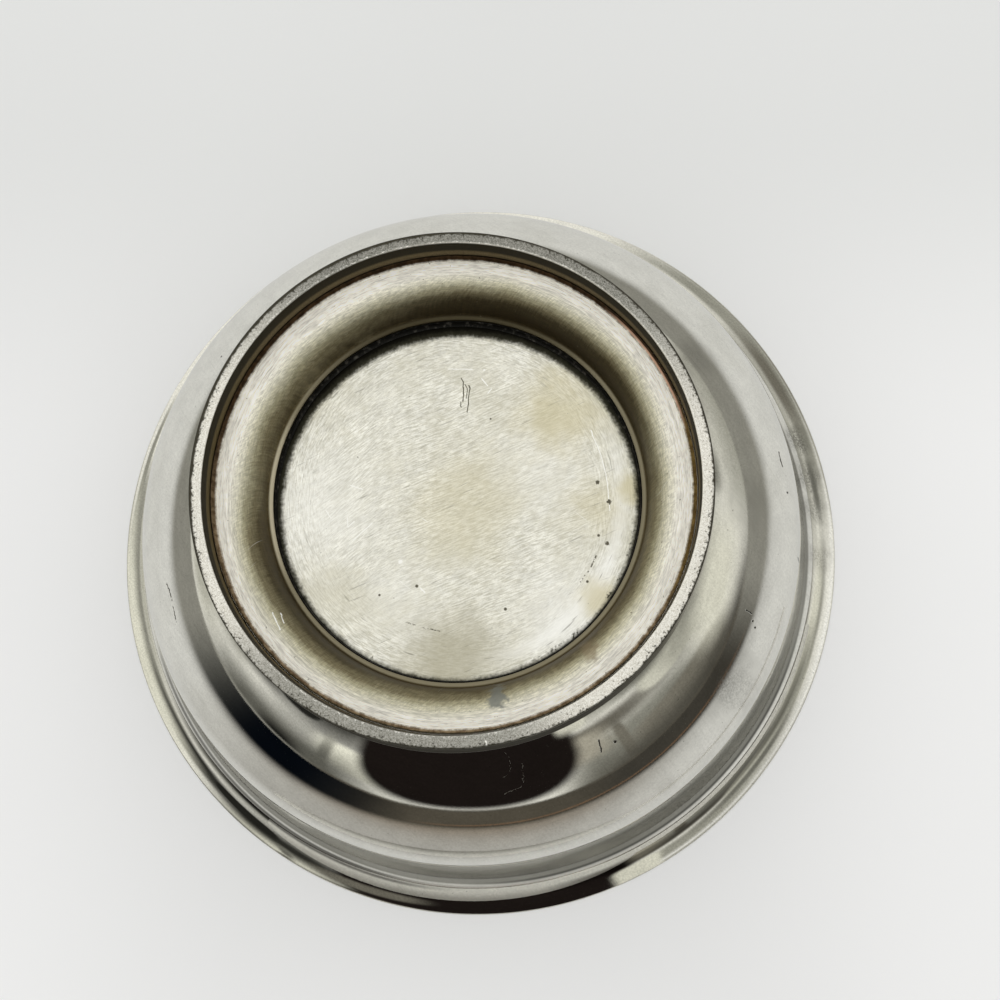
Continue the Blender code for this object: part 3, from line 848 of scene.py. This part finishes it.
def brown_solder():
    """The ring joint: tan, copper at one place, with painted shade that makes it near black on the far side
    and a painted highlight along its foot.
    """
    solder = Finish("copper_brown_solder", (0.40, 0.24, 0.13), 0.42, specular=0.2)
    mottle = solder.mottle(700.0, 4.0, 0.65, seed=1.0)
    patchy = solder.band(mottle, 0.38, 0.62)
    solder.tone = solder.mix(patchy, (0.30, 0.22, 0.13), (0.13, 0.085, 0.045))
    # Painted shade: near black on the far side and darker on the right.
    solder.paint(solder.sector(95.0, 85.0, 22.0),
                 solder.mix(patchy, (0.060, 0.032, 0.012), (0.022, 0.011, 0.003)))
    solder.paint(solder.sector(-5.0, 20.0, 10.0),
                 solder.mix(patchy, (0.20, 0.13, 0.035), (0.09, 0.055, 0.014)))
    copper = solder.sector(32.0, 13.0, 7.0) * solder.between(solder.radius, 0.05815, 0.0586, 0.00012)
    solder.paint(copper, (0.62, 0.38, 0.26))
    ragged = solder.radius + (mottle - 0.5) * 0.0006
    # A dark line where the joint meets the ring's wall on the near side: a dark seam together with painted
    # shade at the foot of the wall.
    seam_and_shade = solder.band(ragged, 0.0586, 0.0588) * solder.sector(-92.0, 66.0, 20.0)
    solder.paint(seam_and_shade, (0.046, 0.034, 0.013))
    # A painted highlight along the fillet's inner foot.
    solder.paint(solder.band(ragged, 0.05785, 0.0584, 1.0, 0.0),
                 solder.mix(patchy, (0.86, 0.83, 0.74), (0.55, 0.51, 0.42)))
    solder.show(solder.tone, mottle * 0.3 + 0.30, mottle * 0.1 + 0.45)
    solder.relief(mottle, 0.00006)
    return solder.material


# Floor and light

def stage_piece(name, verts, faces, material):
    mesh = bpy.data.meshes.new(name)
    mesh.from_pydata(verts, [], faces)
    mesh.materials.append(material)
    piece = bpy.data.objects.new(name, mesh)
    bpy.context.scene.collection.objects.link(piece)
    return piece


def add_floor():
    cloth = Finish("white_cloth", (0.80, 0.80, 0.79), 1.0, 0.0, specular=0.0)
    # Painted light and shade on the cloth: lighter to the left and right, darker on the far side.
    lit_sides = cloth.band(cloth.math("ABSOLUTE", cloth.x), 0.06, 0.15)
    cloth.tone = cloth.mix(lit_sides, (0.83, 0.83, 0.82), (0.875, 0.875, 0.865))
    cloth.paint(cloth.band(cloth.y, 0.02, 0.15), (0.755, 0.76, 0.745))
    cloth.vary((cloth.mottle(3.0), 0.98, 1.02))
    plain = cloth.tone

    # What the polished metal shows of the table: cloth to its edge, then the darker room floor. Painted
    # shade darkens the cloth on the near side and further out.
    near = cloth.sector(-100.0, 34.0, 30.0)
    cloth.tone = cloth.mix(near * cloth.band(cloth.radius, 0.122, 0.178), (0.69, 0.69, 0.665),
                           (0.42, 0.41, 0.385))
    dim = cloth.mix(near, (0.24, 0.235, 0.22), (0.21, 0.165, 0.115))
    cloth.paint(cloth.band(cloth.radius, 0.23, 0.42) * (near * 0.25 + 0.45), dim)
    low = cloth.mix(cloth.sector(-90.0, 20.0, 16.0), (0.050, 0.046, 0.038), (0.085, 0.075, 0.058))
    beyond = cloth.mix(cloth.sector(-70.0, 56.0, 12.0), (0.27, 0.265, 0.235), low)
    beyond = cloth.mix(cloth.sector(-135.0, 12.0, 22.0), beyond, (0.002, 0.003, 0.005))
    past = cloth.radius - (cloth.sector(-60.0, 50.0, 30.0) * 0.13 + 0.31)
    cloth.paint(cloth.band(past, -0.05, 0.06), beyond)
    board = cloth.sector(-60.0, 38.0, 8.0)
    cloth.paint(cloth.between(past, 0.048, 0.062, 0.008) * board, (0.02, 0.018, 0.014), 0.7)
    cloth.paint(cloth.between(past, 0.078, 0.098, 0.010) * board, (0.22, 0.13, 0.075))
    mirrored = cloth.step("ShaderNodeLightPath", output="Is Glossy Ray")
    cloth.show(cloth.mix(mirrored, plain, cloth.tone))
    half = 2.6
    corners = [(-half, -half, 0), (half, -half, 0), (half, half, 0), (-half, half, 0)]
    stage_piece("floor", corners, [(0, 1, 2, 3)], cloth.material)


def add_card():
    """A low pale card beside the lip on the near side, which only the polished metal shows."""
    radius, start, end = 0.150, 232, 348
    verts = []
    for azimuth in range(start, end + 1, 2):
        turn = math.radians(azimuth)
        along = min((azimuth - start) / 66, 1.0)
        tall = max(0.0, math.sin(math.pi * along)) ** 0.5
        for height in (0.006, 0.0125 + 0.0125 * tall):
            verts.append((radius * math.cos(turn), radius * math.sin(turn), height))
    faces = [(a, a + 1, a + 3, a + 2) for a in range(0, len(verts) - 2, 2)]
    paper = Finish("pale_card", (0.36, 0.35, 0.32), 1.0, 0.0, specular=0.0)
    paper.show(paper.mix(paper.band(paper.height, 0.011, 0.024), (0.80, 0.79, 0.75), (0.42, 0.41, 0.38)))
    card = stage_piece("pale_card", verts, faces, paper.material)
    card.visible_camera = card.visible_diffuse = card.visible_shadow = False


# Soft shades that stand round the table and show in the polished metal. Azimuth and its half
# width, height above the horizon and its half, all in degrees; squareness; softness; tint; how
# bright it is.
PLASTER = (1.0, 0.99, 0.86)
WOOD = (1.0, 0.94, 0.78)
BROWN_CLOTH = (1.0, 0.75, 0.67)
SHADES = [
    (43, 27, 29, 14.5, 3, 0.4, PLASTER, 0.33),      # wall on the right
    (31, 23, -15, 29, 4, 0.6, PLASTER, 0.36),
    (184, 25, 24, 14, 3, 0.2, PLASTER, 0.31),       # wall on the left
    (163, 14, 29, 4.5, 3, 0.35, PLASTER, 0.31),
    (204, 14, 27, 10.5, 3, 0.4, PLASTER, 0.03),     # dark corner on the left
    (229, 17, 42, 27, 3, 0.55, PLASTER, 0.029),
    (238, 31, 60, 16.5, 3, 0.6, PLASTER, 0.88),     # window on the left
    (229, 1.5, 42, 5.5, 3, 0.6, PLASTER, 0.16),
    (248, 17.5, 11, 7, 4, 0.25, PLASTER, 0.97),
    (233, 1.5, 1, 17, 4, 0.6, PLASTER, 0.28),       # its frame
    (222, 24.5, -4, 15, 3, 0.5, PLASTER, 0.12),     # dark chest on the left
    (222, 6, -4, 7, 2.5, 0.5, PLASTER, 0.002),
    (314, 23, -1, 22.5, 4, 0.35, PLASTER, 0.24),    # cupboard on the right
    (308, 1.5, 10, 11.5, 4, 0.3, WOOD, 0.17),
    (328, 18.5, 6, 6.5, 3, 0.25, WOOD, 0.19),
    (329, 37, -17, 22.5, 4, 0.25, WOOD, 0.08),      # low dark board under it
    (290, 39, 24, 4.5, 3, 0.6, WOOD, 0.14),
    (335, 16.5, 28, 8, 3, 0.1, PLASTER, 0.62),      # window on the right
    (299, 38.5, 41, 9.5, 3, 0.6, PLASTER, 0.32),
    (326, 13, 35, 4.5, 3, 0.6, PLASTER, 0.18),
    (350, 18, 25, 7.5, 3, 0.6, PLASTER, 0.30),
    (352, 14, 16, 9.5, 3, 0.6, PLASTER, 0.76),
    (299, 3.5, 44, 13, 4, 0.25, PLASTER, 0.71),
    (255, 18, 46, 16.5, 3, 0.6, WOOD, 0.04),
    (294, 10, 18, 7.5, 4, 0.45, WOOD, 0.42),
    (39, 8, 23, 13, 3, 0.6, WOOD, 0.18),
    (19, 4.5, 21, 6.5, 3, 0.6, PLASTER, 0.19),
    (221, 7.5, 27, 6.5, 3, 0.1, PLASTER, 0.018),
    (186, 19.5, 40, 16, 3, 0.5, PLASTER, 0.82),     # pale ceiling cove on the left
    (181, 13.5, 6, 6, 3, 0.6, PLASTER, 0.51),
    (268.5, 28.5, 30, 30, 3.4, 0.07, BROWN_CLOTH, 0.012),  # dark curtain on the near side
    (246, 10, 39, 6.5, 3, 0.4, WOOD, 0.15),
    (297, 4.5, 43, 12, 4, 0.25, PLASTER, 0.68),     # bright strip beside it
]


def add_room():
    """White studio walls and ceiling with soft grey shades; the camera sees plain white."""
    world = bpy.data.worlds.new("studio")
    bpy.context.scene.world = world
    world.use_nodes = True
    world.cycles.sampling_method = "NONE"
    room = Recipe(world.node_tree)
    direction = room.step("ShaderNodeTexCoord", output="Generated")
    x, y, z = room.split(direction)
    degree = math.degrees(1.0)
    rise = room.math("ARCSINE", z) * degree
    level = room.math("POWER", x * x + y * y + 1e-8, 0.5)
    shade = room.mix(room.band(rise, 2.0, 34.0), (0.99, 0.98, 0.91), (0.89, 0.88, 0.82))
    shade = room.mix(room.band(rise, 34.0, 56.0), shade, (1.0, 1.0, 0.98))

    def toward(azimuth):
        angle = math.radians(azimuth)
        return (x * math.cos(angle) + y * math.sin(angle)) / level

    for azimuth, half_width, height, half_height, squareness, softness, tint, brightness in SHADES:
        across = room.math("ARCCOSINE", toward(azimuth)) * (degree / half_width)
        up = room.math("ABSOLUTE", (rise - height) * (1.0 / half_height))
        away = room.math("POWER", across, squareness) + room.math("POWER", up, squareness)
        away = room.math("POWER", away, 1.0 / squareness)
        tone = tuple(part * brightness for part in tint)
        shade = room.mix(room.band(away, 1.0 + softness, 1.0 - softness), shade, tone)
    cloud = room.noise(room.vector(x, y, z), 2.5, detail=3.0, seed=1.0)
    uneven = room.mix(room.band(cloud, 0.3, 0.7), (0.92, 0.92, 0.92), (1.05, 1.05, 1.05))
    shade = room.mix(1.0, shade, uneven, "MULTIPLY")
    below = room.mix(room.band(toward(-70.0), 0.35, 0.62), (0.27, 0.265, 0.235), (0.085, 0.077, 0.062))
    shade = room.mix(room.band(rise, 0.3, -0.8), shade, below)
    mirrored = room.most(room.step("ShaderNodeLightPath", output="Is Glossy Ray"),
                         room.step("ShaderNodeLightPath", output="Is Transmission Ray"))
    background = world.node_tree.nodes["Background"].inputs
    room.feed(background["Color"], room.mix(mirrored, (1.0, 1.0, 1.0), shade))
    background["Strength"].default_value = 1.0


# The pieces

def finish_faces(piece, finishes, choose):
    """Gives the piece its finishes; choose numbers the one of a face by its centre and normal."""
    piece.data.materials.clear()
    for finish in finishes:
        piece.data.materials.append(finish)
    for face in piece.data.polygons:
        face.material_index = choose(face.center, face.normal)


def bowl_side(centre, normal):
    """0 outside, 1 on the underside within the foot, 2 inside."""
    if centre.z > BODY_HEIGHT - BOWL_SHEET / 2 and centre.xy.length < UNDERSIDE_RADIUS:
        return 1
    return 2 if normal.z < -0.02 and centre.xy.length < RIM_RADIUS - BOWL_SHEET else 0


def collar_side(centre, normal):
    """0 on the hollow side and the flange, 1 outside."""
    outward = normal.xy.dot(centre.xy) / centre.xy.length
    return 1 if normal.z < -0.02 or (outward > 0.2 and centre.z < FLANGE_TOP - COLLAR_SHEET) else 0


def dress(piece, node):
    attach(piece, "root")
    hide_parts(node)


TURNING = turning_tree()
add_camera()
add_floor()
add_card()
add_room()

shell = turned("bowl_shell", bowl_section(), closed=False, steps=BOWL_STEPS_ROUND)
polished = polished_plate()
finish_faces(shell, (polished, brushed_underside(), satin_inside()), bowl_side)
dress(shell, "bowl_body")
collar = turned("collar_shell", collar_section())
finish_faces(collar, (brushed_plate(), polished), collar_side)
dress(collar, "foot_collar")
dress(turned("turned_base_ring", ring_section(), pitted_metal()), "base_ring")
neck_run = turned("neck_solder_run", neck_solder_section(), dark_solder(), lump_height=0.0004,
                  lump_length=0.0018, seed=2.0)
draw_in(neck_run)
dress(neck_run, "neck_solder")
dress(turned("ring_solder_run", ring_solder_section(), brown_solder(), lump_height=0.0003,
             lump_length=0.002, seed=5.0), "ring_solder")

bpy.context.scene.view_settings.view_transform = "Standard"
